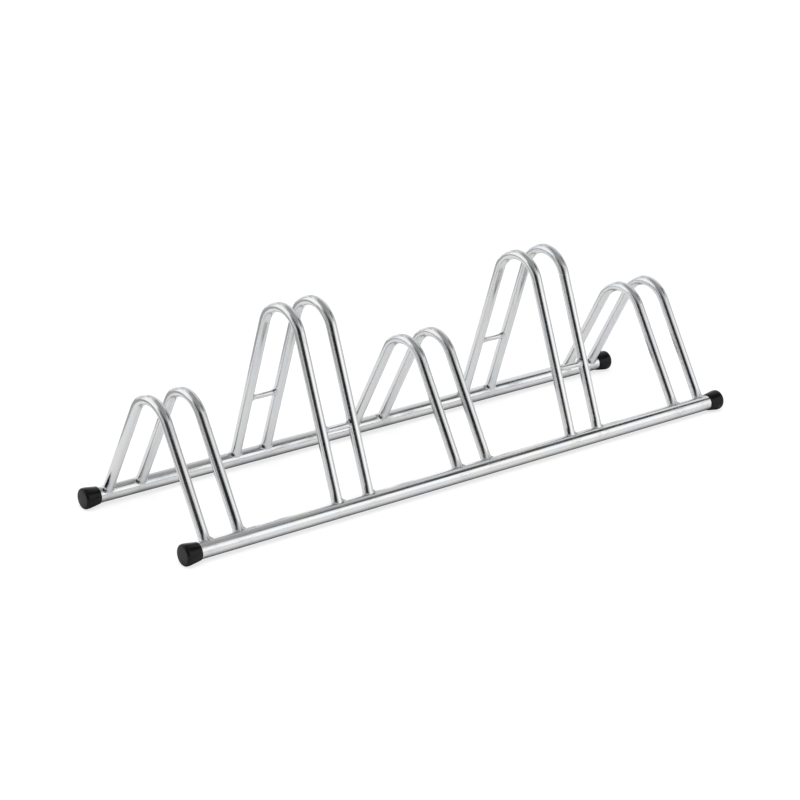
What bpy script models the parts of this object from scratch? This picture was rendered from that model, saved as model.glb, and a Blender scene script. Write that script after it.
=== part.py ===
"""Floor-standing rack for five bicycles, modelled at its real size in metres, +Z up.

Two long round tubes lie on the floor, one at the front and one at the rear. Ten hoops of thinner tube stand
across them in five pairs, and a bicycle's wheel goes between the two hoops of a pair. In a low pair the wheel
stands on the floor between the rails. Every second pair is taller and has two short rods, which hold its wheel
higher, so that the handlebars of two neighbours don't meet. All of it is steel that was welded together and
then zinc plated. A rubber cap is pushed over each end of the two rails.

X runs along the rails, Y from the front rail to the rear rail, and the origin is on the floor under the middle
of the rack.
"""

import math

import bmesh
import bpy
from mathutils import Vector

# Floor rails
RAIL_OD = 0.030  # outer diameter of the tube
RAIL_WALL = 0.0015
RAIL_SPACING = 0.328  # from the front rail's axis to the rear rail's axis

# Hoops
HOOP_OD = 0.020  # outer diameter of the tube
HOOP_WALL = 0.0012
BEND_RADIUS = 0.058  # of the tube's centre line
LOW_RISE = 0.222  # from the rails' axes up to the top of a low hoop's centre line
HIGH_RISE = 0.337  # the same for a high hoop
WHEEL_GAP = 0.050  # clear width between the two hoops of a pair
PAIR_PITCH = 0.280  # from the middle of one pair to the middle of the next
PAIR_RISES = (LOW_RISE, HIGH_RISE, LOW_RISE, HIGH_RISE, LOW_RISE)  # from the left end

# Wheel rest rods, two in each high pair
ROD_DIAMETER = 0.010
ROD_RISE = 0.133  # from the rails' axes up to the rod's axis

# Weld beads: radius of the bead round the line where two surfaces meet
FOOT_WELD = 0.005
ROD_WELD = 0.004

# Rubber end caps
CAP_OD = 0.040  # at the closed end, which is the widest part
CAP_LENGTH = 0.032
CAP_LIP = 0.0012  # wall round the rail at the cap's open rim
CAP_FLOOR = 0.005  # wall across the closed end
CAP_LAND = 0.005  # length of the straight part at the closed end, which stands on the floor
CAP_ROUND = 0.0045  # rounding of the closed end's edge
CAP_SETBACK = 0.004  # bare rail between the last weld and the cap's rim

# Clearance between pieces that touch
GAP = 0.0003

# Facets
RAIL_SIDES = 24
CAP_SIDES = 24
CAP_ROUND_STEPS = 3
HOOP_SIDES = 16
BORE_SIDES = 10
BEND_STEPS = 12
ROD_SIDES = 12
BEAD_SIDES = 6
BEAD_STEPS = 16
SHARP_ANGLE = math.radians(35)
MERGE_DISTANCE = 0.00001

# Sizes that follow from those above
HALF_SPACING = RAIL_SPACING / 2
HOOP_SPACING = WHEEL_GAP + HOOP_OD  # between the centre lines of the two hoops of a pair
RAIL_HEIGHT = CAP_OD / 2 * math.cos(math.pi / CAP_SIDES)  # the caps stand on a flat, not on a corner
PAIR_CENTRES = [PAIR_PITCH * (i - (len(PAIR_RISES) - 1) / 2) for i in range(len(PAIR_RISES))]
CAP_RIM_X = PAIR_CENTRES[-1] + HOOP_SPACING / 2 + HOOP_OD / 2 + FOOT_WELD + CAP_SETBACK
RAIL_LENGTH = 2 * (CAP_RIM_X + CAP_LENGTH - CAP_FLOOR - GAP)

ALONG = Vector((1, 0, 0))


def clear_scene():
    for old in list(bpy.data.objects):
        bpy.data.objects.remove(old)


def new_collection(name):
    collection = bpy.data.collections.new(name)
    bpy.context.scene.collection.children.link(collection)
    return collection


def new_material(name, colour, roughness, metallic):
    material = bpy.data.materials.new(name)
    material.use_nodes = True
    shader = material.node_tree.nodes["Principled BSDF"]
    shader.inputs["Base Color"].default_value = (*colour, 1)
    shader.inputs["Roughness"].default_value = roughness
    shader.inputs["Metallic"].default_value = metallic
    return material


def new_object(name, mesh, collection):
    made = bpy.data.objects.new(name, mesh)
    collection.objects.link(made)
    return made


def as_cutter(tool):
    """Marks an object that only shapes others: it is drawn as wire and never rendered."""
    tool.display_type = "WIRE"
    tool.hide_render = True
    return tool


def evaluated_mesh(source):
    """The mesh that an object's curve or modifiers make, as a mesh of its own."""
    graph = bpy.context.evaluated_depsgraph_get()
    return bpy.data.meshes.new_from_object(source.evaluated_get(graph))


def merge_close_corners(mesh):
    """Joins corners that lie on each other, as along a curve's end caps and a Boolean's seams."""
    cleaned = bmesh.new()
    cleaned.from_mesh(mesh)
    bmesh.ops.remove_doubles(cleaned, verts=cleaned.verts, dist=MERGE_DISTANCE)
    cleaned.to_mesh(mesh)
    cleaned.free()


def add_boolean(target, tool, operation):
    modifier = target.modifiers.new(tool.name, "BOOLEAN")
    modifier.solver = "EXACT"
    modifier.operation = operation
    modifier.object = tool


def apply_boolean(target, tool, operation):
    """Joins or cuts at once, where the result is copied or cut again, and removes the tool."""
    add_boolean(target, tool, operation)
    mesh = evaluated_mesh(target)
    merge_close_corners(mesh)
    target.modifiers.clear()
    target.data = mesh
    bpy.data.objects.remove(tool)


def cut_where_it_stands(piece, cutters):
    """Cuts a placed piece to sit on its neighbours, with modifiers that stay on it."""
    for cutter in cutters:
        add_boolean(piece, cutter, "DIFFERENCE")
    seams = piece.modifiers.new("seams", "WELD")
    seams.merge_threshold = MERGE_DISTANCE


def shade(mesh):
    """Smooth over the round sides, sharp at cut ends and edges."""
    mesh.shade_smooth()
    mesh.set_sharp_from_angle(angle=SHARP_ANGLE)


def swept_bar(name, points, radius, sides, collection, cyclic=False):
    """A round bar that follows the points. With cyclic set it is a closed ring."""
    curve = bpy.data.curves.new(name, "CURVE")
    curve.dimensions = "3D"
    curve.bevel_depth = radius
    curve.bevel_resolution = (sides - 4) // 2
    curve.use_fill_caps = not cyclic
    spline = curve.splines.new("POLY")
    spline.points.add(len(points) - 1)
    for spline_point, point in zip(spline.points, points):
        spline_point.co = (*point, 1)
    spline.use_cyclic_u = cyclic
    path = new_object(name + "_path", curve, collection)
    mesh = evaluated_mesh(path)
    bpy.data.objects.remove(path)
    merge_close_corners(mesh)
    return new_object(name, mesh, collection)


def long_cylinder(name, radius, length, collection, ends):
    """A cylinder along X through the origin, with the rails' facets. The ends are NGON or NOTHING."""
    bpy.ops.mesh.primitive_cylinder_add(
        vertices=RAIL_SIDES, radius=radius, depth=length, end_fill_type=ends, rotation=(0, math.pi / 2, 0)
    )
    made = bpy.context.object
    bpy.ops.object.transform_apply(location=False, rotation=True, scale=False)
    made.name = name
    for holder in list(made.users_collection):
        holder.objects.unlink(made)
    collection.objects.link(made)
    return made


def weld_ring(name, origin, main_axis, branch_axis, main_radius, branch_radius, bead, collection):
    """A bead round the line where a branch meets the tube that it stands on, square or leaning."""
    side_axis = main_axis.cross(branch_axis)
    line = []
    for step in range(BEAD_STEPS):
        turn = 2 * math.pi * (step + 0.5) / BEAD_STEPS  # half a step off the branch's facet corners
        along = branch_radius * math.cos(turn)
        across = branch_radius * math.sin(turn)
        out = math.sqrt(main_radius**2 - across**2)
        line.append(origin + along * main_axis + across * side_axis + out * branch_axis)
    return swept_bar(name, line, bead, BEAD_SIDES, collection, cyclic=True)


def leg_slope(rise):
    """Angle of a hoop's legs above the floor. Each leg is tangent to the bend and aims at a rail's axis."""
    centre_rise = rise - BEND_RADIUS
    reach = math.hypot(HALF_SPACING, centre_rise)
    return math.atan2(centre_rise, HALF_SPACING) + math.asin(BEND_RADIUS / reach)


def front_leg_axis(rise):
    slope = leg_slope(rise)
    return Vector((0, math.cos(slope), math.sin(slope)))


def hoop_line(rise, overrun):
    """Centre line of a hoop at x = 0, from front to rear, with overrun past the rails' axes."""
    slope = leg_slope(rise)
    bend_centre = Vector((0, 0, RAIL_HEIGHT + rise - BEND_RADIUS))
    line = []
    for step in range(BEND_STEPS + 1):
        turn = math.pi / 2 + slope - 2 * slope * step / BEND_STEPS
        line.append(bend_centre + BEND_RADIUS * Vector((0, math.cos(turn), math.sin(turn))))
    leg = front_leg_axis(rise)
    front_foot = Vector((0, -HALF_SPACING, RAIL_HEIGHT)) - overrun * leg
    rear_foot = Vector((0, -front_foot.y, front_foot.z))
    return [front_foot, *line, rear_foot]


def hoop_stock(name, rise, collection):
    """A bent tube with a weld bead round each foot, before its feet are cut to sit on the rails."""
    tube = swept_bar(name, hoop_line(rise, 0), HOOP_OD / 2, HOOP_SIDES, collection)
    for side in (-1, 1):
        foot = Vector((0, side * HALF_SPACING, RAIL_HEIGHT))
        leg = front_leg_axis(rise)
        leg.y *= -side
        bead = weld_ring(
            name + "_bead", foot, ALONG, leg, RAIL_OD / 2, HOOP_OD / 2, FOOT_WELD, collection
        )
        apply_boolean(tube, bead, "UNION")
    bore_radius = HOOP_OD / 2 - HOOP_WALL
    bore = swept_bar(name + "_bore", hoop_line(rise, HOOP_WALL), bore_radius, BORE_SIDES, collection)
    apply_boolean(tube, bore, "DIFFERENCE")
    mesh = tube.data
    bpy.data.objects.remove(tube)
    mesh.name = name
    shade(mesh)
    return mesh


def rod_stock(rise, collection):
    """A round rod as long as the hoops' spacing, with a bead where each end meets a front leg."""
    ends = [-HOOP_SPACING / 2 * ALONG, HOOP_SPACING / 2 * ALONG]
    rod = swept_bar("rod", ends, ROD_DIAMETER / 2, ROD_SIDES, collection)
    for side in (-1, 1):
        leg_middle = side * HOOP_SPACING / 2 * ALONG
        bead = weld_ring(
            "rod_bead",
            leg_middle,
            front_leg_axis(rise),
            -side * ALONG,
            HOOP_OD / 2,
            ROD_DIAMETER / 2,
            ROD_WELD,
            collection,
        )
        apply_boolean(rod, bead, "UNION")
    mesh = rod.data
    bpy.data.objects.remove(rod)
    mesh.name = "wheel_rest_rod"
    shade(mesh)
    return mesh


def rail_mesh(collection):
    tube = long_cylinder("rail", RAIL_OD / 2, RAIL_LENGTH, collection, ends="NOTHING")
    wall = tube.modifiers.new("wall", "SOLIDIFY")
    wall.thickness = RAIL_WALL
    wall.offset = -1
    wall.use_even_offset = True
    mesh = evaluated_mesh(tube)
    bpy.data.objects.remove(tube)
    mesh.name = "floor_rail"
    shade(mesh)
    return mesh


def cap_mesh(collection):
    """A rubber cup turned about Z, with its rim at z = 0 and its closed end at the top."""
    end_radius = CAP_OD / 2
    bore_radius = RAIL_OD / 2 + GAP
    floor_height = CAP_LENGTH - CAP_FLOOR
    outline = [(0, CAP_LENGTH)]
    for step in range(CAP_ROUND_STEPS + 1):
        turn = math.pi / 2 * step / CAP_ROUND_STEPS
        outline.append(
            (end_radius - CAP_ROUND * (1 - math.sin(turn)), CAP_LENGTH - CAP_ROUND * (1 - math.cos(turn)))
        )
    outline.append((end_radius, CAP_LENGTH - CAP_ROUND - CAP_LAND))
    outline.append((bore_radius + CAP_LIP, 0))
    outline.append((bore_radius, 0))
    outline.append((bore_radius, floor_height))
    outline.append((0, floor_height))
    half_facet = math.pi / CAP_SIDES  # turns a flat towards the floor
    corners = [(r * math.cos(half_facet), r * math.sin(half_facet), z) for r, z in outline]
    mesh = bpy.data.meshes.new("cap_outline")
    mesh.from_pydata(corners, [(i, i + 1) for i in range(len(corners) - 1)], [])
    cap = new_object("cap", mesh, collection)
    turned = cap.modifiers.new("turned", "SCREW")
    turned.axis = "Z"
    turned.steps = CAP_SIDES
    turned.render_steps = CAP_SIDES
    turned.use_merge_vertices = True
    turned.merge_threshold = MERGE_DISTANCE
    result = evaluated_mesh(cap)
    bpy.data.objects.remove(cap)
    result.name = "end_cap"
    shade(result)
    return result


def add_rails(parts, material):
    mesh = rail_mesh(parts)
    mesh.materials.append(material)
    for name, y in (("rail_front", -HALF_SPACING), ("rail_rear", HALF_SPACING)):
        rail = new_object(name, mesh, parts)
        rail.location = (0, y, RAIL_HEIGHT)


def add_rail_cutters(cutters):
    """One cylinder round each rail, a gap larger, which gives the hoops' feet their saddle shape."""
    made = []
    for name, y in (("rail_front_clearance", -HALF_SPACING), ("rail_rear_clearance", HALF_SPACING)):
        cutter = as_cutter(long_cylinder(name, RAIL_OD / 2 + GAP, RAIL_LENGTH, cutters, ends="NGON"))
        cutter.location = (0, y, RAIL_HEIGHT)
        made.append(cutter)
    return made


def add_hoops(parts, cutters, material):
    """The hoops of all pairs. Hoops of one height share a mesh, and each is cut where it stands."""
    rail_cutters = add_rail_cutters(cutters)
    stock = {}
    for kind, rise in (("low", LOW_RISE), ("high", HIGH_RISE)):
        stock[rise] = hoop_stock(f"hoop_{kind}", rise, parts)
        stock[rise].materials.append(material)
    for number, (centre, rise) in enumerate(zip(PAIR_CENTRES, PAIR_RISES), start=1):
        for side, name in ((-1, f"hoop_{number}_left"), (1, f"hoop_{number}_right")):
            hoop = new_object(name, stock[rise], parts)
            hoop.location.x = centre + side * HOOP_SPACING / 2
            cut_where_it_stands(hoop, rail_cutters)


def add_rods(parts, cutters, material):
    """Two rods in each high pair: one between its front legs and one between its rear legs."""
    rod = rod_stock(HIGH_RISE, parts)
    rod.materials.append(material)
    y = HALF_SPACING - ROD_RISE / math.tan(leg_slope(HIGH_RISE))
    for number, (centre, rise) in enumerate(zip(PAIR_CENTRES, PAIR_RISES), start=1):
        if rise != HIGH_RISE:
            continue
        leg_cutters = []
        for side, word in ((-1, "left"), (1, "right")):
            line = hoop_line(rise, 0)
            name = f"hoop_{number}_{word}_clearance"
            cutter = as_cutter(swept_bar(name, line, HOOP_OD / 2 + GAP, HOOP_SIDES, cutters))
            cutter.location.x = centre + side * HOOP_SPACING / 2
            leg_cutters.append(cutter)
        for word, side, turn in (("front", -1, 0), ("rear", 1, math.pi)):
            placed = new_object(f"wheel_rest_rod_{number}_{word}", rod, parts)
            placed.location = (centre, side * y, RAIL_HEIGHT + ROD_RISE)
            placed.rotation_euler.z = turn
            cut_where_it_stands(placed, leg_cutters)


def add_caps(parts, material):
    mesh = cap_mesh(parts)
    mesh.materials.append(material)
    for depth_word, y in (("front", -HALF_SPACING), ("rear", HALF_SPACING)):
        for side_word, side in (("left", -1), ("right", 1)):
            cap = new_object(f"end_cap_{depth_word}_{side_word}", mesh, parts)
            cap.location = (side * CAP_RIM_X, y, RAIL_HEIGHT)
            cap.rotation_euler.y = side * math.pi / 2


def main():
    clear_scene()
    parts = new_collection("bicycle_rack")
    cutters = new_collection("cutters")
    rail_zinc = new_material("rail_zinc", (0.70, 0.71, 0.71), roughness=0.24, metallic=1)
    hoop_zinc = new_material("hoop_zinc", (0.74, 0.75, 0.76), roughness=0.20, metallic=1)
    rod_zinc = new_material("rod_zinc", (0.68, 0.69, 0.70), roughness=0.28, metallic=1)
    cap_rubber = new_material("cap_rubber", (0.012, 0.012, 0.013), roughness=0.6, metallic=0)
    add_rails(parts, rail_zinc)
    add_hoops(parts, cutters, hoop_zinc)
    add_rods(parts, cutters, rod_zinc)
    add_caps(parts, cap_rubber)


main()
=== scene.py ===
# %% [markdown]
# Bicycle rack: the looks
#
# The rack is zinc plated steel tube, with a black rubber cap on each rail end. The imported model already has
# the right sizes, but its tubes have flat facets. This lesson keeps every size and place from the model,
# makes each piece again with fine round surfaces and real welds, and gives it the finish of bright zinc.

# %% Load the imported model
import math

import bmesh
import bpy
from mathutils import Matrix, Vector


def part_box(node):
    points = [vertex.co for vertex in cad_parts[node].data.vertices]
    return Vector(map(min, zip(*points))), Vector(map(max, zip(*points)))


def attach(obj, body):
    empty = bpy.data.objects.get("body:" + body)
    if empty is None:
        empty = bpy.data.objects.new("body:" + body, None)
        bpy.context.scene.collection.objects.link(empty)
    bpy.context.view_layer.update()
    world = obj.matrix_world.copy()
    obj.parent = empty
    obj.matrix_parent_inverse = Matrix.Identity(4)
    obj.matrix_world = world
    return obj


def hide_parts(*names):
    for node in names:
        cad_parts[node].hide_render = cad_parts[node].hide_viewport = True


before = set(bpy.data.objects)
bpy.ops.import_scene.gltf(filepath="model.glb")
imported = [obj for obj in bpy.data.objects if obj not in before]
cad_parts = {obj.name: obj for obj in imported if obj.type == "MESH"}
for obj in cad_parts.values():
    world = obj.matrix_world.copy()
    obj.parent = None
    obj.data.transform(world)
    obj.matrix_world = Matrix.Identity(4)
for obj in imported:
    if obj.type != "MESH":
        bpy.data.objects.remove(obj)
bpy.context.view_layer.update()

# %% [markdown]
# The sizes come from the frame where its boxes hold them: where the rails lie, how thick they are, where
# each hoop stands and how high it reaches. The few that no box shows are written down here in metres.

# %% Sizes
RAIL_WALL = 0.0015
HOOP_DIAMETER = 0.020
HOOP_WALL = 0.0012
BEND_RADIUS = 0.058  # of the hoops' centre line
ROD_DIAMETER = 0.010
ROD_RISE = 0.133  # from the rails' axes up to the rods' axes
CAP_LIP = 0.0012
CAP_FLOOR = 0.005
CAP_LAND = 0.005
CAP_ROUND = 0.0045
CAP_CLEARANCE = 0.0003

rail_low, rail_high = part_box("rail_front")
RAIL_RADIUS = (rail_high.y - rail_low.y) / 2
RAIL_Z = (rail_high.z + rail_low.z) / 2
HALF_SPACING = -(rail_high.y + rail_low.y) / 2
RAIL_END_X = rail_high.x
HOOP_RADIUS = HOOP_DIAMETER / 2
HOOP_NAMES = sorted(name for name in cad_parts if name.startswith("hoop_"))
ROD_NAMES = sorted(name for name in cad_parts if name.startswith("wheel_rest_rod_"))
CAP_NAMES = sorted(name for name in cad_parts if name.startswith("end_cap_"))


def hoop_place(name):
    """X of a hoop's centre line, and its rise from the rails' axes to the top of that line."""
    low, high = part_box(name)
    return (low.x + high.x) / 2, high.z - HOOP_RADIUS - RAIL_Z


FEET_X = [hoop_place(name)[0] for name in HOOP_NAMES]
print("rail radius", round(RAIL_RADIUS, 4), "feet at", [round(x, 3) for x in FEET_X])

# %% [markdown]
# The camera comes first, so that every later choice can be judged in its view. The picture was taken from
# the front left, a little above the rack, with a long lens, so the far end is hardly smaller than the near
# one. These numbers were found by laying the model's outline over the picture's. Across and up say how far
# the middle of the view lies from the middle of the rack's floor.

# %% Camera
CAMERA_AZIMUTH = math.radians(-38.398)
CAMERA_ELEVATION = math.radians(19.298)
CAMERA_DISTANCE = 4.2613
CAMERA_ACROSS = -0.0364
CAMERA_UP = 0.1071
LENS_MM = 100.0
SENSOR_MM = 36.0


def direction(azimuth, elevation):
    """From the rack towards a point at that azimuth, 0 being straight in front, and that elevation."""
    flat = math.cos(elevation)
    return Vector((math.sin(azimuth) * flat, -math.cos(azimuth) * flat, math.sin(elevation)))


backward = direction(CAMERA_AZIMUTH, CAMERA_ELEVATION)
rightward = Vector((0, 0, 1)).cross(backward).normalized()
upward = backward.cross(rightward)
camera_data = bpy.data.cameras.new("camera")
camera_data.lens = LENS_MM
camera_data.sensor_width = SENSOR_MM
camera = bpy.data.objects.new("camera", camera_data)
bpy.context.scene.collection.objects.link(camera)
camera.location = CAMERA_ACROSS * rightward + CAMERA_UP * upward + CAMERA_DISTANCE * backward
camera.rotation_euler = Matrix((rightward, upward, backward)).transposed().to_euler()
bpy.context.scene.camera = camera
print("camera at", [round(c, 3) for c in camera.location])

# %% [markdown]
# Colours are written as sRGB hex values, as a paint chart or a picture editor gives them. Blender's shaders
# work in linear light, so one function turns them. A second one adds a node, which keeps each material below
# readable as a list of what it is made of.

# %% Colour and node helpers


def linear(hex_colour):
    """An sRGB colour such as "#C9CCD0" as linear red, green, blue and alpha."""
    channels = [int(hex_colour[i : i + 2], 16) / 255 for i in (1, 3, 5)]
    return [c / 12.92 if c <= 0.04045 else ((c + 0.055) / 1.055) ** 2.4 for c in channels] + [1.0]


def add_node(tree, kind, inputs=None, **settings):
    """Adds a node. Settings are its properties, and an input takes a value or another node's output."""
    node = tree.nodes.new(kind)
    for name, value in settings.items():
        setattr(node, name, value)
    for name, value in (inputs or {}).items():
        if isinstance(value, bpy.types.NodeSocket):
            tree.links.new(value, node.inputs[name])
        else:
            node.inputs[name].default_value = value
    return node


print("middle grey, #808080, is", round(linear("#808080")[0], 3), "in linear light")

# %% [markdown]
# The studio is as plain as it can be: a pale floor, a white surrounding and one wide soft light from above.
# The surrounding lights the rack at half strength, and whoever looks at it, directly or in a reflection,
# sees plain white. The floor keeps the rack's shadow, with a glow of its own that the camera sees as white.

# %% White room, floor and light
SKY_LIGHT = 0.5
LAMP_LEVEL = 0.60  # how bright it makes a white floor, where 1 is white
LAMP_WIDTH = math.radians(50)
LAMP_FROM = Vector((-0.15, -0.25, 1))
FLOOR_SIZE = 60.0
FLOOR_GLOW = 0.74
CORNER_SHADE = 0.024  # how far the painted shade beside whatever stands on the floor reaches in reflections

scene = bpy.context.scene
scene.view_settings.view_transform = "Standard"

world = bpy.data.worlds.new("white_studio")
scene.world = world
world.use_nodes = True
sky = world.node_tree
sky.nodes.clear()
path = add_node(sky, "ShaderNodeLightPath").outputs
seen = path["Is Camera Ray"]
for kind in ("Is Glossy Ray", "Is Transmission Ray"):
    seen = add_node(sky, "ShaderNodeMath", {0: seen, 1: path[kind]}, operation="MAXIMUM").outputs[0]
dimmed = add_node(sky, "ShaderNodeBackground", {"Color": linear("#FFFFFF"), "Strength": SKY_LIGHT})
white = add_node(sky, "ShaderNodeBackground", {"Color": linear("#FFFFFF"), "Strength": 1.0})
chosen = add_node(sky, "ShaderNodeMixShader", {0: seen, 1: dimmed.outputs[0], 2: white.outputs[0]})
add_node(sky, "ShaderNodeOutputWorld", {"Surface": chosen.outputs[0]})

bpy.ops.object.select_all(action="DESELECT")
bpy.ops.mesh.primitive_plane_add(size=FLOOR_SIZE, location=(0, 0, 0))
floor = bpy.context.object
floor.name = "floor"
floor_paint = bpy.data.materials.new("matt_white_floor")
floor_paint.use_nodes = True
paint = floor_paint.node_tree
paint.nodes.clear()
path = add_node(paint, "ShaderNodeLightPath").outputs
# Painted shade: an ambient occlusion node darkens the floor's colour beside whatever stands on it, as
# reflections see it.
painted_contact_shade = {"Color": linear("#F4F4F4"), "Distance": CORNER_SHADE}
painted_contact_shade = add_node(paint, "ShaderNodeAmbientOcclusion", painted_contact_shade)
matt = add_node(paint, "ShaderNodeBsdfDiffuse", {"Color": painted_contact_shade.outputs[0]})
matt_seen = add_node(paint, "ShaderNodeBsdfDiffuse", {"Color": linear("#969696")})
glow = add_node(paint, "ShaderNodeEmission", {"Color": linear("#FFFFFF"), "Strength": FLOOR_GLOW})
floor_seen = add_node(paint, "ShaderNodeAddShader", {0: matt_seen.outputs[0], 1: glow.outputs[0]})
chosen = {0: path["Is Camera Ray"], 1: matt.outputs[0], 2: floor_seen.outputs[0]}
chosen = add_node(paint, "ShaderNodeMixShader", chosen)
add_node(paint, "ShaderNodeOutputMaterial", {"Surface": chosen.outputs[0]})
floor.data.materials.append(floor_paint)

lamp_data = bpy.data.lights.new("soft_overhead_light", "SUN")
lamp_data.energy = LAMP_LEVEL * math.pi
lamp_data.angle = LAMP_WIDTH
lamp = bpy.data.objects.new("soft_overhead_light", lamp_data)
scene.collection.objects.link(lamp)
lamp.rotation_euler = LAMP_FROM.to_track_quat("Z", "Y").to_euler()
lamp.visible_glossy = False
print("floor of", FLOOR_SIZE, "m, lamp at level", LAMP_LEVEL)

# %% [markdown]
# Polished metal shows what stands round it, so without anything dark near the rack its tubes would melt into
# the white. Photographers set up dark and bright cards for this. Here they are planes that only reflections
# see. Each is hung by the angles at which the rack sees it, as one would point at it from the middle.

# %% Cards round the rack


def studio_card(name, centre, square_to, width, height, strength):
    """A plane for reflections alone, with its centre, a line square to it and its size in metres."""
    turn = square_to.to_track_quat("Z", "Y").to_euler()
    bpy.ops.object.select_all(action="DESELECT")
    bpy.ops.mesh.primitive_plane_add(size=1.0, location=centre, rotation=turn)
    card = bpy.context.object
    card.name = name
    card.scale = (width, height, 1)
    surface = bpy.data.materials.new(name)
    surface.use_nodes = True
    tree = surface.node_tree
    tree.nodes.clear()
    shine = add_node(tree, "ShaderNodeEmission", {"Color": linear("#FFFFFF"), "Strength": strength})
    add_node(tree, "ShaderNodeOutputMaterial", {"Surface": shine.outputs[0]})
    card.data.materials.append(surface)
    card.visible_camera = False
    card.visible_diffuse = False
    card.visible_shadow = False
    card.visible_transmission = False


def hang_card(name, azimuth, elevation, width, height, strength, distance=6.0):
    """A card that faces the rack. Azimuth, elevation, width and height are angles seen from the rack."""
    away = direction(math.radians(azimuth), math.radians(elevation))
    across = 2 * distance * math.tan(math.radians(width / 2))
    tall = 2 * distance * math.tan(math.radians(height / 2))
    studio_card(name, distance * away, away, across, tall, strength)


# The camera stands in a dark part of the room, which gives every leg its black line.
hang_card(
    "black_flag_at_camera", azimuth=-42, elevation=17, width=50, height=44, strength=0.015, distance=5
)
hang_card("dark_wall_behind_camera", azimuth=-58, elevation=28, width=72, height=46, strength=0.16)
hang_card("grey_wall_beside_camera", azimuth=-11, elevation=28, width=22, height=60, strength=0.58)
hang_card("grey_wall_left", azimuth=-96, elevation=3, width=32, height=38, strength=0.72, distance=5.5)

# Softboxes on both sides and at the back give the bright lines beside it.
hang_card("softbox_right", azimuth=29, elevation=16, width=44, height=30, strength=1.34)
hang_card("softbox_left_rear", azimuth=-130, elevation=22, width=42, height=50, strength=1.26)
hang_card("softbox_right_rear", azimuth=160, elevation=9, width=40, height=34, strength=1.45)

# A dim ceiling, grey walls and one dark strip keep the tops and the backs from washing out.
hang_card("pale_ceiling", azimuth=15, elevation=86, width=84, height=84, strength=0.75, distance=4.8)
hang_card("dim_ceiling", azimuth=15, elevation=86, width=60, height=60, strength=0.41, distance=4.5)
hang_card(
    "dark_ceiling_at_camera", azimuth=-55, elevation=62, width=46, height=26, strength=0.37, distance=4
)
hang_card("dark_strip_at_right", azimuth=62, elevation=44, width=36, height=18, strength=0.07, distance=4.2)
hang_card("grey_wall_right", azimuth=98, elevation=10, width=60, height=44, strength=0.68)
hang_card("grey_gap_at_rear", azimuth=-156, elevation=6, width=13, height=34, strength=0.72, distance=5.6)
hang_card("grey_ledge_at_rear", azimuth=174, elevation=40, width=54, height=12, strength=0.70, distance=5.6)

# The white table ends behind the rack on the left, and the darker floor of the room shows beyond it. The
# slight tilt of this card turns its near edge square to the rack.
PAST_TABLE = Vector((-3.46, 3.46, 0.002))
PAST_TABLE_TILT = Vector((-0.001, 0.001, 1))
PAST_TABLE_SIZE = 8.0
studio_card("dark_floor_past_table", PAST_TABLE, PAST_TABLE_TILT, PAST_TABLE_SIZE, PAST_TABLE_SIZE, 0.45)
cards = [thing.name for thing in scene.objects if thing.type == "MESH" and not thing.visible_camera]
print(len(cards), "cards:", cards)

# %% [markdown]
# Bright zinc plate is a thin layer of zinc, put on in a bath after the rack is welded. It reflects like a
# soft mirror, with a faint tint from the passivating dip. The tube below it was drawn through a die, so fine
# lines run along it, and the bender left duller, scuffed patches where it gripped the tube. The lines follow
# the tube round its bend, so every steel piece carries its own straightened position: how far along the tube
# a point lies and where it lies across it. A second value says how much the bender or the welder's heat has
# worked on that place.

# %% Bright zinc plate
DRAWN_LINE_WIDTH = 0.0007  # real lines are near 0.1 mm wide, too fine to show, so they are drawn wider
DRAWN_LINE_LENGTH = 0.16
HAZE_SIZE = 0.030
TINT_SIZE = 0.085
SCUFF_WIDTH = 0.0016
SCUFF_LENGTH = 0.012
SCUFF_SHADE = 0.55  # how far the deepest scuff's colour goes from the plate's to worn steel's
SCUFF_DULLING = 0.16
ORANGE_PEEL_SIZE = 0.006
RELIEF_HEIGHT = 0.00004


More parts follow.
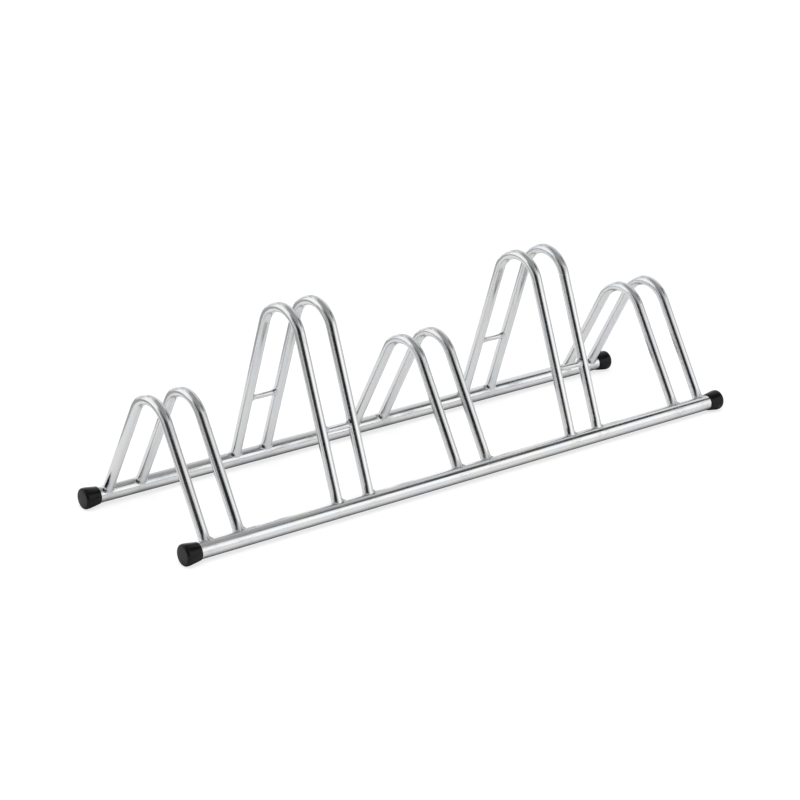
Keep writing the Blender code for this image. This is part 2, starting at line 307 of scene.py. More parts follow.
def zinc_plate(name, plain, cool, warm, smooth, dull):
    """Bright zinc plate on drawn steel. Smooth and dull are the roughness of its best and worst places."""
    material = bpy.data.materials.new(name)
    material.use_nodes = True
    tree = material.node_tree
    shader = tree.nodes["Principled BSDF"]
    shader.inputs["Metallic"].default_value = 1.0
    run = add_node(tree, "ShaderNodeAttribute", attribute_name="tube_run").outputs["Vector"]
    worked = add_node(tree, "ShaderNodeAttribute", attribute_name="worked").outputs["Fac"]

    # Each pattern is noise from 0 to 1, whose patches are so long along the tube and so wide across it.
    noise = {}
    for pattern, along, across, detail in (
        ("lines", DRAWN_LINE_LENGTH, DRAWN_LINE_WIDTH, 3.0),
        ("haze", HAZE_SIZE * 2, HAZE_SIZE, 4.0),
        ("tint", TINT_SIZE, TINT_SIZE, 2.0),
        ("scuffs", SCUFF_LENGTH, SCUFF_WIDTH, 4.0),
        ("peel", ORANGE_PEEL_SIZE, ORANGE_PEEL_SIZE, 2.0),
    ):
        stretch = {0: run, 1: (1 / along, 1 / across, 1 / across)}
        place = add_node(tree, "ShaderNodeVectorMath", stretch, operation="MULTIPLY").outputs[0]
        settings = {"Vector": place, "Scale": 1.0, "Detail": detail}
        noise[pattern] = add_node(tree, "ShaderNodeTexNoise", settings).outputs[0]

    # Each level takes a part of a pattern's range to new limits and holds it there.
    level = {}
    for use, pattern, low, high, to_low, to_high in (
        ("scuffed", "scuffs", 0.42, 0.68, 0.0, 1.0),
        ("warmth", "tint", 0.38, 0.62, 0.0, 1.0),
        ("tinted", "haze", 0.3, 0.7, 0.25, 0.85),
        ("roughness", "haze", 0.35, 0.75, smooth, dull),
        ("line_roughness", "lines", 0.35, 0.65, -0.02, 0.03),
    ):
        limits = {"From Min": low, "From Max": high, "To Min": to_low, "To Max": to_high}
        level[use] = add_node(tree, "ShaderNodeMapRange", {"Value": noise[pattern], **limits}).outputs[0]
    both = {0: level["scuffed"], 1: worked}
    scuffed = add_node(tree, "ShaderNodeMath", both, operation="MULTIPLY").outputs[0]

    # The colour goes from cool to warm, then part of the way from plain, then to worn steel in the scuffs.
    deep = {0: scuffed, 1: SCUFF_SHADE}
    deep = add_node(tree, "ShaderNodeMath", deep, operation="MULTIPLY").outputs[0]
    colour = {0: level["warmth"], 6: linear(cool), 7: linear(warm)}
    colour = add_node(tree, "ShaderNodeMix", colour, data_type="RGBA").outputs[2]
    colour = {0: level["tinted"], 6: linear(plain), 7: colour}
    colour = add_node(tree, "ShaderNodeMix", colour, data_type="RGBA").outputs[2]
    colour = {0: deep, 6: colour, 7: linear("#8E9094")}
    colour = add_node(tree, "ShaderNodeMix", colour, data_type="RGBA").outputs[2]
    tree.links.new(colour, shader.inputs["Base Color"])

    # Roughness and relief are weighted sums. Lines and peel stand up, and the scuffs are pressed in.
    rough = level["roughness"]
    for part, weight in ((level["line_roughness"], 1.0), (scuffed, SCUFF_DULLING)):
        step = {0: part, 1: weight, 2: rough}
        rough = add_node(tree, "ShaderNodeMath", step, operation="MULTIPLY_ADD").outputs[0]
    tree.links.new(rough, shader.inputs["Roughness"])
    relief = 0.0
    for part, weight in ((noise["lines"], 0.35), (noise["peel"], 0.65), (scuffed, -0.8)):
        step = {0: part, 1: weight, 2: relief}
        relief = add_node(tree, "ShaderNodeMath", step, operation="MULTIPLY_ADD").outputs[0]
    bump = {"Strength": 0.5, "Distance": RELIEF_HEIGHT, "Height": relief}
    bump = add_node(tree, "ShaderNodeBump", bump).outputs[0]
    tree.links.new(bump, shader.inputs["Normal"])
    print(name, "has", len(tree.nodes), "nodes")
    return material


rail_zinc = zinc_plate("bright_zinc_on_rail_tube", "#DCDDDE", "#D8DADF", "#DDDDD9", smooth=0.12, dull=0.22)
hoop_zinc = zinc_plate("bright_zinc_on_hoop_tube", "#DBDCDD", "#D7D9DE", "#DDDDDA", smooth=0.14, dull=0.22)
rod_zinc = zinc_plate("bright_zinc_on_rod", "#D9DADB", "#D5D7DC", "#DADAD7", smooth=0.12, dull=0.22)

# %% [markdown]
# Zinc plate lies over the welds too. A weld's skin is finely rippled and a little porous, so the same metal
# looks softer there. In a corner of each rear foot the weld is painted black, as painted shade in that
# corner.

# %% Zinc plated weld
WELD_GRAIN = 0.0009
WELD_GRAIN_HEIGHT = 0.00006
WELD_CLOUD = 0.006


def weld_zinc():
    """The skin of a plated weld, with black spots of painted shade where a point value marks them."""
    material = bpy.data.materials.new("zinc_plated_weld")
    material.use_nodes = True
    tree = material.node_tree
    shader = tree.nodes["Principled BSDF"]
    shader.inputs["Metallic"].default_value = 1.0
    place = add_node(tree, "ShaderNodeTexCoord").outputs["Object"]
    grain = {"Vector": place, "Scale": 1 / WELD_GRAIN, "Detail": 4.0}
    grain = add_node(tree, "ShaderNodeTexNoise", grain).outputs[0]
    cloud = {"Vector": place, "Scale": 1 / WELD_CLOUD, "Detail": 2.0}
    cloud = add_node(tree, "ShaderNodeTexNoise", cloud).outputs[0]
    shade = {0: cloud, 6: linear("#C4C7CA"), 7: linear("#DCDDDF")}
    shade = add_node(tree, "ShaderNodeMix", shade, data_type="RGBA").outputs[2]
    # A black spot of painted shade in the corner of each rear foot, where a point value marks it.
    slag = add_node(tree, "ShaderNodeAttribute", attribute_name="slag").outputs["Fac"]
    shade = {0: slag, 6: shade, 7: linear("#0A0B0C")}
    shade = add_node(tree, "ShaderNodeMix", shade, data_type="RGBA").outputs[2]
    tree.links.new(shade, shader.inputs["Base Color"])
    rough = {"Value": grain, "From Min": 0.3, "From Max": 0.7, "To Min": 0.09, "To Max": 0.17}
    rough = add_node(tree, "ShaderNodeMapRange", rough).outputs[0]
    tree.links.new(rough, shader.inputs["Roughness"])
    bump = {"Strength": 0.3, "Distance": WELD_GRAIN_HEIGHT, "Height": grain}
    bump = add_node(tree, "ShaderNodeBump", bump).outputs[0]
    tree.links.new(bump, shader.inputs["Normal"])
    return material


weld_skin = weld_zinc()
print(weld_skin.name, "has", len(weld_skin.node_tree.nodes), "nodes")

# %% [markdown]
# The caps are moulded from black rubber. It is so dark that what shows is mostly its sheen: the softboxes on
# the closed end and the side, and the dark camera corner as a black band on the rounded edge between them.
# The mould left a fine grain, and the closed end's face is painted greyer in patches, as a painted sheen.

# %% Moulded black rubber
RUBBER_GRAIN = 0.0005
RUBBER_GRAIN_HEIGHT = 0.00004
RUBBER_PATCH_SIZE = 0.007
RUBBER_GLOSS = 0.20  # a smooth surface has 0.5, and the grain traps light


def moulded_rubber():
    """Black rubber, painted greyer in patches where a point value is high: a painted sheen on the closed end.
    """
    material = bpy.data.materials.new("moulded_black_rubber")
    material.use_nodes = True
    tree = material.node_tree
    shader = tree.nodes["Principled BSDF"]
    shader.inputs["Specular IOR Level"].default_value = RUBBER_GLOSS
    run = add_node(tree, "ShaderNodeAttribute", attribute_name="tube_run").outputs["Vector"]
    face_sheen_mask = add_node(tree, "ShaderNodeAttribute", attribute_name="worked").outputs["Fac"]
    grain = {"Vector": run, "Scale": 1 / RUBBER_GRAIN, "Detail": 3.0}
    grain = add_node(tree, "ShaderNodeTexNoise", grain).outputs[0]
    rubber_patches = {"Vector": run, "Scale": 1 / RUBBER_PATCH_SIZE, "Detail": 4.0}
    rubber_patches = add_node(tree, "ShaderNodeTexNoise", rubber_patches).outputs[0]
    # Painted sheen: the closed end's face is painted greyer than the side, in random patches.
    painted_face_sheen = {"Value": rubber_patches, "From Min": 0.3, "From Max": 0.7, "To Min": 0.35, "To Max": 1.0}
    painted_face_sheen = add_node(tree, "ShaderNodeMapRange", painted_face_sheen).outputs[0]
    painted_face_sheen = add_node(tree, "ShaderNodeMath", {0: painted_face_sheen, 1: face_sheen_mask}, operation="MULTIPLY").outputs[0]
    shade = {0: painted_face_sheen, 6: linear("#040405"), 7: linear("#0B0B0B")}
    shade = add_node(tree, "ShaderNodeMix", shade, data_type="RGBA").outputs[2]
    tree.links.new(shade, shader.inputs["Base Color"])
    rough = {"Value": rubber_patches, "From Min": 0.3, "From Max": 0.7, "To Min": 0.24, "To Max": 0.34}
    rough = add_node(tree, "ShaderNodeMapRange", rough).outputs[0]
    tree.links.new(rough, shader.inputs["Roughness"])
    bump = {"Strength": 0.5, "Distance": RUBBER_GRAIN_HEIGHT, "Height": grain}
    bump = add_node(tree, "ShaderNodeBump", bump).outputs[0]
    tree.links.new(bump, shader.inputs["Normal"])
    return material


cap_rubber = moulded_rubber()
print(cap_rubber.name, "has", len(cap_rubber.node_tree.nodes), "nodes")

# %% [markdown]
# A few helpers for modelling. Each piece starts as a primitive with nothing else selected. What repeats is
# modelled once as stock and copied, and every copy has a mesh of its own with its place in it. Each copy was
# cut from another stretch of the same bar or tube, so its pattern starts elsewhere.

# %% Modelling helpers
SMOOTH_ANGLE = math.radians(32)
DOUBLES = 0.00001
NEXT_STRETCH = 1.7  # metres of stock between the patterns of two copies
HALF_TURN = Matrix.Rotation(math.pi, 4, "Z")


def start_primitive(add, **settings):
    """Adds a primitive with nothing else selected, and puts its place and turn into its mesh."""
    if bpy.context.object and bpy.context.object.mode != "OBJECT":
        bpy.ops.object.mode_set(mode="OBJECT")
    bpy.ops.object.select_all(action="DESELECT")
    add(**settings)
    bpy.ops.object.transform_apply(location=True, rotation=True, scale=True)
    return bpy.context.object


def select_vertices(piece, wanted):
    """In edit mode, selects the vertices whose place passes the test, with the edges and faces they fill."""
    bpy.ops.mesh.select_all(action="DESELECT")
    mesh = bmesh.from_edit_mesh(piece.data)
    for vertex in mesh.verts:
        vertex.select = wanted(vertex.co)
    mesh.select_flush(True)
    bmesh.update_edit_mesh(piece.data)


def selected_middle(piece):
    """In edit mode, the mean place of the selected vertices."""
    mesh = bmesh.from_edit_mesh(piece.data)
    places = [vertex.co for vertex in mesh.verts if vertex.select]
    return sum(places, Vector()) / len(places)


def face_outwards(piece):
    """In edit mode, turns every face outwards, and leaves edit mode."""
    bpy.ops.mesh.select_all(action="SELECT")
    bpy.ops.mesh.normals_make_consistent(inside=False)
    bpy.ops.object.mode_set(mode="OBJECT")


def apply_modifier(piece, kind, **settings):
    """Adds a modifier with its settings and applies it at once."""
    modifier = piece.modifiers.new(kind.lower(), kind)
    for name, value in settings.items():
        setattr(modifier, name, value)
    bpy.context.view_layer.objects.active = piece
    bpy.ops.object.modifier_apply(modifier=modifier.name)


def tidy(piece):
    """Merges doubles and shades round sides smooth."""
    bpy.ops.object.select_all(action="DESELECT")
    piece.select_set(True)
    bpy.context.view_layer.objects.active = piece
    bpy.ops.object.mode_set(mode="EDIT")
    bpy.ops.mesh.select_all(action="SELECT")
    bpy.ops.mesh.remove_doubles(threshold=DOUBLES)
    bpy.ops.object.mode_set(mode="OBJECT")
    bpy.ops.object.shade_smooth_by_angle(angle=SMOOTH_ANGLE)


def open_edges(piece):
    """How many edges don't have a face on each side. A closed skin has none."""
    mesh = bmesh.new()
    mesh.from_mesh(piece.data)
    count = sum(1 for edge in mesh.edges if len(edge.link_faces) != 2)
    mesh.free()
    return count


def write_point_values(piece, run_at, **values_at):
    """Stores at each vertex its straightened position, and a value for each function that is given."""
    places = [vertex.co for vertex in piece.data.vertices]
    run = piece.data.attributes.new("tube_run", "FLOAT_VECTOR", "POINT")
    run.data.foreach_set("vector", [value for place in places for value in run_at(place)])
    for name, value_at in values_at.items():
        layer = piece.data.attributes.new(name, "FLOAT", "POINT")
        layer.data.foreach_set("value", [value_at(place) for place in places])


def place_copy(stock, number, placement, node):
    """A copy of finished stock with a mesh of its own, placed by its mesh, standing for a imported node."""
    mesh = stock.data.copy()
    mesh.transform(placement)
    run = mesh.attributes["tube_run"].data
    values = [0.0] * (3 * len(run))
    run.foreach_get("vector", values)
    values[0::3] = [along + number * NEXT_STRETCH for along in values[0::3]]
    run.foreach_set("vector", values)
    piece = bpy.data.objects.new(f"{node}_finished", mesh)
    scene.collection.objects.link(piece)
    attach(piece, "root")
    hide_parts(node)


# %% [markdown]
# A fillet weld runs round the line where one tube stands on another. Its section is a hollow-sided triangle
# between two toes, one on each tube, and each small step of the torch left a ripple. A torus has the right
# kind of mesh for it, a ring of rings, so it starts as one and every ring is laid into the corner between
# the two tubes. The back of the ring is sunk a little into both walls, so that the join has no crack. The
# foot itself is fitted without a cut: its end ring slides up the leg until it lies on the other tube.

# %% Fillet weld
WELD_RIPPLE = 0.0017  # length of one ripple along the weld
RIPPLE_HEIGHT = 0.00012
RINGS_PER_RIPPLE = 5
RING_SHIFT = 0.37  # of a ring's width, so that no ring lies on an edge of the tube, where a union can fail
SECTION_STEPS = 12
TOE_DEPTH = 0.00025
ROOT_DEPTH = 0.0008
SEAT_DEPTH = 0.0001  # the pieces sink this far into each other, as the real ones are fused


def fillet_weld(corner, main_axis, branch_axis, main_radius, branch_radius, reach, flatness):
    """A weld round the foot of a branch. Its reach is a function of the turn round the branch. A flatness
    of 0 draws the weld's face right into the corner, and 1 makes it flat."""
    ripples = round(2 * math.pi * branch_radius / WELD_RIPPLE)
    rings = RINGS_PER_RIPPLE * ripples
    ring_size = SECTION_STEPS + 1
    weld = start_primitive(
        bpy.ops.mesh.primitive_torus_add,
        major_segments=rings,
        minor_segments=ring_size,
        major_radius=branch_radius,
        minor_radius=ROOT_DEPTH,
    )
    side_axis = main_axis.cross(branch_axis)
    for ring in range(rings):
        turn = 2 * math.pi * (ring + RING_SHIFT) / rings
        out_branch = math.cos(turn) * main_axis + math.sin(turn) * side_axis
        height = math.sqrt(main_radius**2 - (branch_radius * math.sin(turn)) ** 2)
        root = corner + branch_radius * out_branch + height * branch_axis
        from_axis = root - corner
        out_main = (from_axis - from_axis.dot(main_axis) * main_axis).normalized()
        away = (out_branch - out_branch.dot(out_main) * out_main).normalized()
        branch_toe = root + reach(turn) * branch_axis - TOE_DEPTH * out_branch
        flat_toe = from_axis + reach(turn) * away
        along = flat_toe.dot(main_axis) * main_axis
        main_toe = corner + along + (main_radius - TOE_DEPTH) * (flat_toe - along).normalized()
        swell = RIPPLE_HEIGHT * abs(math.sin(math.pi * ring * ripples / rings))
        lift = (out_branch + out_main).normalized()
        middle = root.lerp((branch_toe + main_toe) / 2, flatness)
        for step in range(SECTION_STEPS):
            t = step / (SECTION_STEPS - 1)
            place = (1 - t) ** 2 * branch_toe + 2 * t * (1 - t) * middle + t**2 * main_toe
            weld.data.vertices[ring * ring_size + step].co = place + swell * 4 * t * (1 - t) * lift
        back = root - ROOT_DEPTH * (out_branch + out_main)
        weld.data.vertices[ring * ring_size + SECTION_STEPS].co = back
    bpy.ops.object.mode_set(mode="EDIT")
    face_outwards(weld)
    return weld


def seat_end(piece, seat_radius, seat_middle, seat_axis, inward):
    """Slides the vertices at a piece's end from the seat's axis to its round side. Each one moves along
    the piece, which gives the end the shape of a saddle."""
    across = seat_axis.cross(inward)
    for vertex in piece.data.vertices:
        offset = vertex.co - seat_middle
        if abs(offset.dot(inward)) < DOUBLES and offset.length < seat_radius:
            vertex.co += math.sqrt((seat_radius - SEAT_DEPTH) ** 2 - offset.dot(across) ** 2) * inward


def add_weld(piece, weld):
    """Joins a weld to a piece. Its back stays sunk in both tubes, as a real weld's root is."""
    weld.data.materials.append(piece.data.materials[0])
    weld.data.materials.append(weld_skin)
    for face in weld.data.polygons:
        face.material_index = 1
    apply_modifier(piece, "BOOLEAN", operation="UNION", object=weld, solver="EXACT")
    bpy.data.objects.remove(weld)

# %% [markdown]
# A hoop is one tube, bent cold and welded upright on the two rails. By hand it is drawn as it is made: a
# circle at the front foot, extruded up the straight leg, spun round the centre of the bend and extruded down
# to the rear foot. Solidify gives the wall, and each foot's end ring slides up to the rail, as a saddle.

# %% Shape of a hoop


def leg_slope(rise):
    """Angle of the legs above the floor. Each leg is tangent to the bend and aims at a rail's axis."""
    centre_rise = rise - BEND_RADIUS
    reach = math.hypot(HALF_SPACING, centre_rise)
    return math.atan2(centre_rise, HALF_SPACING) + math.asin(BEND_RADIUS / reach)


def leg_length(rise):
    """From a rail's axis to the start of the bend."""
    return math.sqrt(HALF_SPACING**2 + (rise - BEND_RADIUS) ** 2 - BEND_RADIUS**2)


def bend_centre(rise):
    """The middle of the circle that the bend follows."""
    return Vector((0, 0, RAIL_Z + rise - BEND_RADIUS))


def hoop_run(rise, point):
    """Straightens a hoop: how far along its centre line a point lies, and its place across the tube."""
    slope = leg_slope(rise)
    spoke = point - bend_centre(rise)
    turn = math.atan2(spoke.y, spoke.z)  # 0 at the top, positive to the rear
    if abs(turn) <= slope:
        along = leg_length(rise) + (turn + slope) * BEND_RADIUS
        return Vector((along, point.x, math.hypot(spoke.y, spoke.z) - BEND_RADIUS))
    side = -1 if point.y < 0 else 1
    from_foot = point - Vector((0, side * HALF_SPACING, RAIL_Z))
    climbed = from_foot.dot(Vector((0, -side * math.cos(slope), math.sin(slope))))
    outward = from_foot.dot(Vector((0, side * math.sin(slope), math.cos(slope))))
    along = climbed if side < 0 else 2 * leg_length(rise) + 2 * slope * BEND_RADIUS - climbed
    return Vector((along, point.x, outward))


for rise in sorted({round(hoop_place(name)[1], 4) for name in HOOP_NAMES}):
    print("rise", rise, "legs of", round(leg_length(rise), 4), "at", round(math.degrees(leg_slope(rise)), 1))

# %% [markdown]
# Two things work on a hoop's plate. The bender's jaws grip the tube at both ends of the bend, and the
# welder's heat dulls it close to the feet. Both fall off over a few centimetres at most.

# %% Worked places of a hoop
GRIP_MIDDLE = 0.85  # share of the bend at which the jaws grip
GRIP_REACH = 0.030
GRIP_RINGS = (0.070, 0.035)  # rings this far below the bend, so that the value can fall off there
GRIP_INSIDE = 0.2  # the jaws hardly marked the side that faces the middle of the bend
HEAT_REACH = 0.010
HEAT_SHARE = 0.45


def hoop_worked(rise, point):
    """1 where the bender gripped the tube, falling off over its length, and a little at the feet."""
    slope = leg_slope(rise)
    spoke = point - bend_centre(rise)
    turn = abs(math.atan2(spoke.y, spoke.z))
    from_grip = (turn - slope * GRIP_MIDDLE) * BEND_RADIUS
    if turn > slope:
        from_grip = slope * (1 - GRIP_MIDDLE) * BEND_RADIUS + spoke.length * math.sin(turn - slope)
    pressed = max(GRIP_INSIDE, hoop_run(rise, point).z / HOOP_RADIUS)
    grip = pressed * math.exp(-((from_grip / GRIP_REACH) ** 2))
    foot = Vector((point.x, math.copysign(HALF_SPACING, point.y), RAIL_Z))
    heat = math.exp(-max(0.0, (point - foot).length - RAIL_RADIUS) / HEAT_REACH)
    return min(1.0, grip + HEAT_SHARE * heat)


# %% [markdown]
# The welder filled the two corners along the rail and left only a thin bead across it. The filling is larger
# on the right of a front foot and on the left of a rear foot, where each stroke of the torch ended. At the
# rear feet a black spot of painted shade sits in that corner, on the side that faces the middle of the rack.

# %% Hoops
TUBE_SIDES = 64
BEND_STEPS = 56
NEAR_FOOT = 0.032  # a ring this far up the leg, so that the heat's value can fall off below it
FOOT_BEAD = 0.0016
FILLED_CORNER = 0.0070
OTHER_CORNER = 0.0030
FOOT_WELD_FLATNESS = 0.26
# Where the black spot of painted shade lies round the rear foot, and its size.
PAINTED_SHADE_TURN = math.radians(146)  # round the leg, from its right-hand side by way of its inner side
PAINTED_SHADE_LIFT = 0.0032  # from the corner between leg and rail out to the weld's face
PAINTED_SHADE_SIZE = 0.0038


def foot_reach(turn, filled_side):
    """How far the weld reaches from the corner at a turn round the leg, where 0 and a half turn lie along
    the rail."""
    along_rail = math.cos(turn)
    fill = FILLED_CORNER if along_rail * filled_side > 0 else OTHER_CORNER
    return FOOT_BEAD + fill * along_rail**2


def slag_place(slope):
    """Where the black spot of painted shade lies at the rear foot of a hoop in the plane x = 0."""
    up = Vector((0, -math.cos(slope), math.sin(slope)))
    inward = Vector((0, -math.sin(slope), -math.cos(slope)))
    out = math.cos(PAINTED_SHADE_TURN) * Vector((1, 0, 0)) + math.sin(PAINTED_SHADE_TURN) * inward
    height = math.sqrt(RAIL_RADIUS**2 - (HOOP_RADIUS * math.sin(PAINTED_SHADE_TURN)) ** 2)
    root = Vector((0, HALF_SPACING, RAIL_Z)) + HOOP_RADIUS * out + height * up
    return root + PAINTED_SHADE_LIFT * (out + up).normalized()


def make_hoop(rise):
    """A hoop in the plane x = 0 with its welds, as stock to be copied to its places."""
    slope = leg_slope(rise)
    rail_axis = Vector((1, 0, 0))
    foot = Vector((0, -HALF_SPACING, RAIL_Z))
    leg = Vector((0, math.cos(slope), math.sin(slope)))
    hoop = start_primitive(
        bpy.ops.mesh.primitive_circle_add,
        vertices=TUBE_SIDES,
        radius=HOOP_RADIUS,
        fill_type="NOTHING",
        location=foot,
        rotation=(slope - math.pi / 2, 0, 0),
    )
    hoop.name = "hoop_stock"
    bpy.ops.object.mode_set(mode="EDIT")
    bpy.ops.mesh.select_all(action="SELECT")
    stops = [0.0, NEAR_FOOT, *(leg_length(rise) - reach for reach in GRIP_RINGS), leg_length(rise)]
    steps = [there - here for here, there in zip(stops, stops[1:])]
    for step in steps:
        bpy.ops.mesh.extrude_region_move(TRANSFORM_OT_translate={"value": step * leg})
    bpy.ops.mesh.spin(steps=BEND_STEPS, angle=2 * slope, center=bend_centre(rise), axis=rail_axis)
    print("bend of", round(math.degrees(2 * slope), 1), "degrees ends at", selected_middle(hoop))
    down = Vector((0, leg.y, -leg.z))
    for step in reversed(steps):
        bpy.ops.mesh.extrude_region_move(TRANSFORM_OT_translate={"value": step * down})
    bpy.ops.mesh.select_all(action="SELECT")
    bpy.ops.mesh.remove_doubles(threshold=DOUBLES)
    face_outwards(hoop)
    apply_modifier(hoop, "SOLIDIFY", thickness=HOOP_WALL, offset=-1.0)
    hoop.data.materials.append(hoop_zinc)
    hoop.data.materials.append(weld_skin)
    for side in (-1, 1):
        middle = Vector((0, side * HALF_SPACING, RAIL_Z))
        up = Vector((0, -side * leg.y, leg.z))

        def reach(turn):
            return foot_reach(turn, filled_side=-side)

        seat_end(hoop, RAIL_RADIUS, middle, rail_axis, up)
        weld = fillet_weld(middle, rail_axis, up, RAIL_RADIUS, HOOP_RADIUS, reach, FOOT_WELD_FLATNESS)
        add_weld(hoop, weld)
    tidy(hoop)
    # The painted shade spot: a point value, largest in the rear foot's corner, that turns the weld black
    # there.
    spot = slag_place(slope)
    write_point_values(
        hoop,
        lambda p: hoop_run(rise, p),
        worked=lambda p: hoop_worked(rise, p),
        slag=lambda p: math.exp(-(((p - spot).length / PAINTED_SHADE_SIZE) ** 2)),
    )
    print("hoop of rise", rise, "has", len(hoop.data.polygons), "faces, open edges:", open_edges(hoop))
    return hoop


hoop_stock = {}
for number, name in enumerate(HOOP_NAMES):
    x, rise = hoop_place(name)
    rise = round(rise, 4)
    if rise not in hoop_stock:
        hoop_stock[rise] = make_hoop(rise)
    place_copy(hoop_stock[rise], number, Matrix.Translation((x, 0, 0)), name)
for stock in hoop_stock.values():
    bpy.data.objects.remove(stock)
print("hoops placed:", len(HOOP_NAMES))

# %% [markdown]
# A rail is straight drawn tube. It is extruded from a circle in steps, with more of them near each foot,
# where the welder's heat has dulled the plate and that value has to change over a few millimetres.

# %% Rails
RAIL_SIDES = 96
STEPS_FROM_FOOT = (0.010, 0.014, 0.019, 0.026, 0.036)
RAIL_HEAT_REACH = 0.007
RAIL_HEAT_SHARE = 0.55


def rail_worked(point):
    """How much the welder's heat has dulled a place on a rail, from its distance to the nearest foot."""
    nearest = min(abs(point.x - foot) for foot in FEET_X)
    return RAIL_HEAT_SHARE * math.exp(-max(0.0, nearest - HOOP_RADIUS) / RAIL_HEAT_REACH)


def make_rail():
    """A rail along the X axis, as stock to be copied to the front and the rear."""
    stops = {RAIL_END_X}
    for foot in FEET_X:
        for step in STEPS_FROM_FOOT:
            stops.update((foot - step, foot + step))
    rail = start_primitive(
        bpy.ops.mesh.primitive_circle_add,
        vertices=RAIL_SIDES,
        radius=RAIL_RADIUS,
        fill_type="NOTHING",
        location=(-RAIL_END_X, 0, 0),
        rotation=(0, math.pi / 2, 0),
    )
    rail.name = "rail_stock"
    bpy.ops.object.mode_set(mode="EDIT")
    bpy.ops.mesh.select_all(action="SELECT")
    reached = -RAIL_END_X
    for stop in sorted(stops):
        bpy.ops.mesh.extrude_region_move(TRANSFORM_OT_translate={"value": (stop - reached, 0, 0)})
        reached = stop
    face_outwards(rail)
    apply_modifier(rail, "SOLIDIFY", thickness=RAIL_WALL, offset=-1.0)
    rail.data.materials.append(rail_zinc)
    tidy(rail)
    write_point_values(rail, lambda p: p, worked=rail_worked)
    print("rail faces", len(rail.data.polygons), "open edges", open_edges(rail))
    return rail


rail_stock = make_rail()
for number, (name, side) in enumerate((("rail_front", -1), ("rail_rear", 1))):
    place_copy(rail_stock, number, Matrix.Translation((0, side * HALF_SPACING, RAIL_Z)), name)
bpy.data.objects.remove(rail_stock)

# %% [markdown]
# The wheel rest rods are short bars of round steel between two legs of a high pair, welded all round at both
# ends. Their ends fit the legs' round sides, as the hoops' feet fit the rails.

# %% Wheel rest rods
ROD_SIDES = 48
ROD_BEAD = 0.0030
ROD_FILL = 0.0052
ROD_WELD_FLATNESS = 0.5
ROD_HEAT_REACH = 0.006


def rod_reach(turn):
    """The weld is fullest above the rod, where the torch could reach, which is at a turn of 0."""
    return ROD_BEAD + ROD_FILL * (1 + math.cos(turn)) / 2


def make_rod(length, leg):
    """A rod between two front legs whose centre lines lie half the length away on each side."""
    rod = start_primitive(
        bpy.ops.mesh.primitive_cylinder_add,
        vertices=ROD_SIDES,
        radius=ROD_DIAMETER / 2,
        depth=length,
        rotation=(0, math.pi / 2, 0),
    )
    rod.name = "rod_stock"
    rod.data.materials.append(rod_zinc)
    rod.data.materials.append(weld_skin)
    for side in (-1, 1):
        middle = Vector((side * length / 2, 0, 0))
        inward = Vector((-side, 0, 0))
        radii = (HOOP_RADIUS, ROD_DIAMETER / 2)
        seat_end(rod, HOOP_RADIUS, middle, leg, inward)
        weld = fillet_weld(middle, leg, inward, *radii, rod_reach, ROD_WELD_FLATNESS)
        add_weld(rod, weld)
    tidy(rod)
    bare = length / 2 - HOOP_RADIUS
    write_point_values(
        rod, lambda p: p, worked=lambda p: math.exp(-max(0.0, bare - abs(p.x)) / ROD_HEAT_REACH)
    )
    print("rod faces", len(rod.data.polygons), "open edges", open_edges(rod))
    return rod


left_x, rise = hoop_place("hoop_2_left")
right_x, rise = hoop_place("hoop_2_right")
slope = leg_slope(rise)
rod_stock = make_rod(right_x - left_x, Vector((0, math.cos(slope), math.sin(slope))))
rod_y = HALF_SPACING - ROD_RISE / math.tan(slope)
for number, name in enumerate(ROD_NAMES):
    pair = name.split("_")[-2]
    middle_x = (hoop_place(f"hoop_{pair}_left")[0] + hoop_place(f"hoop_{pair}_right")[0]) / 2
    if name.endswith("front"):
        placement = Matrix.Translation((middle_x, -rod_y, RAIL_Z + ROD_RISE))
    else:
        placement = Matrix.Translation((middle_x, rod_y, RAIL_Z + ROD_RISE)) @ HALF_TURN
    place_copy(rod_stock, number, placement, name)
bpy.data.objects.remove(rod_stock)
print("rods placed:", len(ROD_NAMES))

# %% [markdown]
# A cap is a moulded rubber cup, a little wider at its closed end, so that the rack stands on rubber and the
# steel stays off the ground. It starts as a cylinder. A cut marks where the taper begins, the rim end is
# drawn in, the closed end's edge is rounded, and the rim's face is inset and pushed in to make the bore.

# %% End caps
CAP_SIDES = 96
CAP_ROUND_STEPS = 10
RIM_ROUND = 0.0007
RIM_ROUND_STEPS = 4
cap_low, cap_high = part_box("end_cap_front_right")
CAP_RADIUS = (cap_high.z - cap_low.z) / 2
CAP_LENGTH = cap_high.x - cap_low.x
RIM_RADIUS = RAIL_RADIUS + CAP_CLEARANCE + CAP_LIP


def cap_painted_sheen(point):
    """The painted sheen covers the closed end's face and fades over its edge."""
    return max(0.0, min(1.0, 1 - (CAP_LENGTH - point.x) / CAP_ROUND))


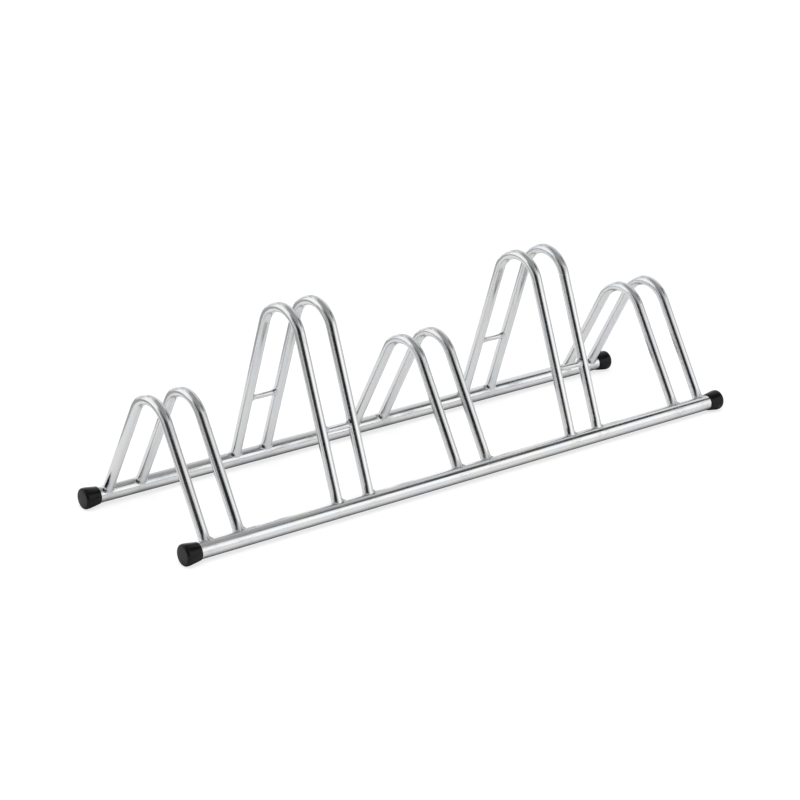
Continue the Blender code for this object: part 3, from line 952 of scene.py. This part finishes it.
def make_cap():
    """A cap on the X axis with its rim at x = 0 and its closed end at x = CAP_LENGTH."""
    cap = start_primitive(
        bpy.ops.mesh.primitive_cylinder_add,
        vertices=CAP_SIDES,
        radius=CAP_RADIUS,
        depth=CAP_LENGTH,
        location=(CAP_LENGTH / 2, 0, 0),
        rotation=(0, math.pi / 2, 0),
    )
    cap.name = "cap_stock"
    bpy.ops.object.mode_set(mode="EDIT")
    bpy.ops.mesh.select_all(action="SELECT")
    bpy.ops.mesh.bisect(plane_co=(CAP_LENGTH - CAP_ROUND - CAP_LAND, 0, 0), plane_no=(1, 0, 0))
    select_vertices(cap, lambda co: co.x < DOUBLES)
    drawn_in = RIM_RADIUS / CAP_RADIUS
    bpy.ops.transform.resize(value=(1, drawn_in, drawn_in), center_override=(0, 0, 0))
    bpy.ops.mesh.inset(thickness=CAP_LIP)
    bpy.ops.mesh.extrude_region_move(TRANSFORM_OT_translate={"value": (CAP_LENGTH - CAP_FLOOR, 0, 0)})
    select_vertices(cap, lambda co: co.x > CAP_LENGTH - DOUBLES)
    bpy.ops.mesh.bevel(offset=CAP_ROUND, segments=CAP_ROUND_STEPS, affect="EDGES")
    select_vertices(cap, lambda co: co.x < DOUBLES and math.hypot(co.y, co.z) > RIM_RADIUS - DOUBLES)
    bpy.ops.mesh.bevel(offset=RIM_ROUND, segments=RIM_ROUND_STEPS, affect="EDGES")
    bpy.ops.object.mode_set(mode="OBJECT")
    tidy(cap)
    cap.data.materials.append(cap_rubber)
    write_point_values(cap, lambda p: p, worked=cap_painted_sheen)
    print("cap faces", len(cap.data.polygons), "open edges", open_edges(cap))
    return cap


cap_stock = make_cap()
for number, name in enumerate(CAP_NAMES):
    low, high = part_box(name)
    middle_y = (low.y + high.y) / 2
    if name.endswith("right"):
        placement = Matrix.Translation((low.x, middle_y, RAIL_Z))
    else:
        placement = Matrix.Translation((high.x, middle_y, RAIL_Z)) @ HALF_TURN
    place_copy(cap_stock, number, placement, name)
bpy.data.objects.remove(cap_stock)
print("caps placed:", len(CAP_NAMES))
